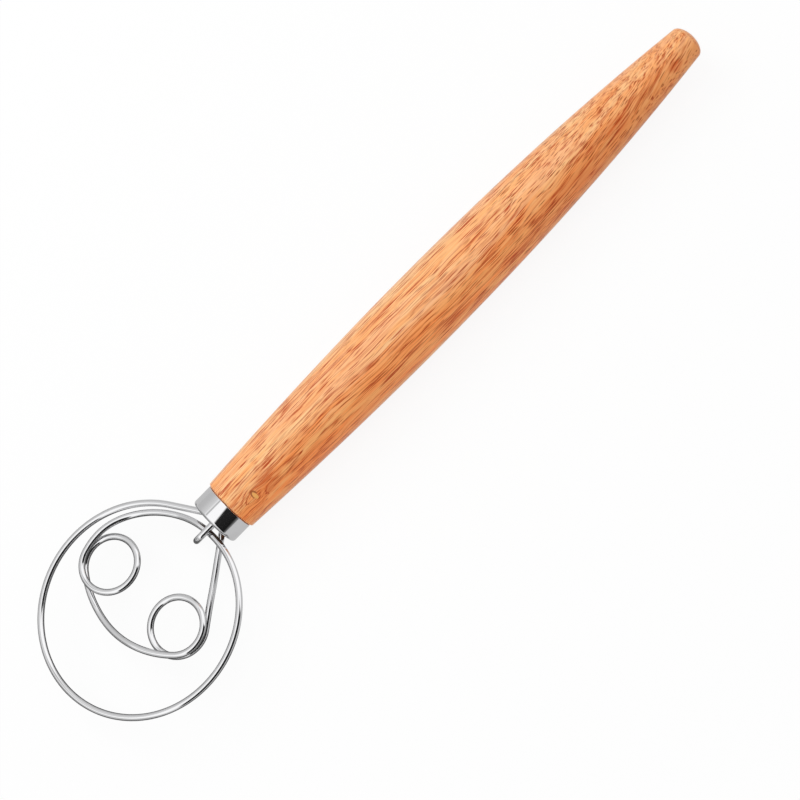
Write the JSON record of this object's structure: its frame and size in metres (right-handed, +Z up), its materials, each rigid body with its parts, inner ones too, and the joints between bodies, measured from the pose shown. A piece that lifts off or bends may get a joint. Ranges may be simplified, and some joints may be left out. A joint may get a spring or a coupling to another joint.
{
  "type": "danish dough whisk",
  "caption": "Hand whisk for stiff dough: a flat steel wire head, an outer ring with coiled eyes inside it, held by a keeper pin and ferrule in a turned barrel-shaped wooden handle.",
  "frame": {"origin": "on the surface the whisk lies on, under the middle of its box", "axes": "the whisk lies level on the belly of its handle; +X runs along the handle from the wire head to the butt, +Y runs across the flat wire head towards the first eye, and +Z is up, square to the flat of the head"},
  "size_m": [0.341, 0.0832, 0.0288],
  "materials": {
    "wood": "fine-sanded and oiled orange-tan hardwood with short dark pores, satin",
    "ferrule_steel": "bright polished drawn stainless steel",
    "wire_steel": "bright polished stainless steel wire",
    "resin": "cured dark amber epoxy, glossy"
  },
  "bodies": {
    "root": {"handle": "wood", "ferrule": "ferrule_steel", "whisk_wire": "wire_steel", "keeper_pin": "wire_steel", "socket_resin": "resin"}
  },
  "joints": []
}
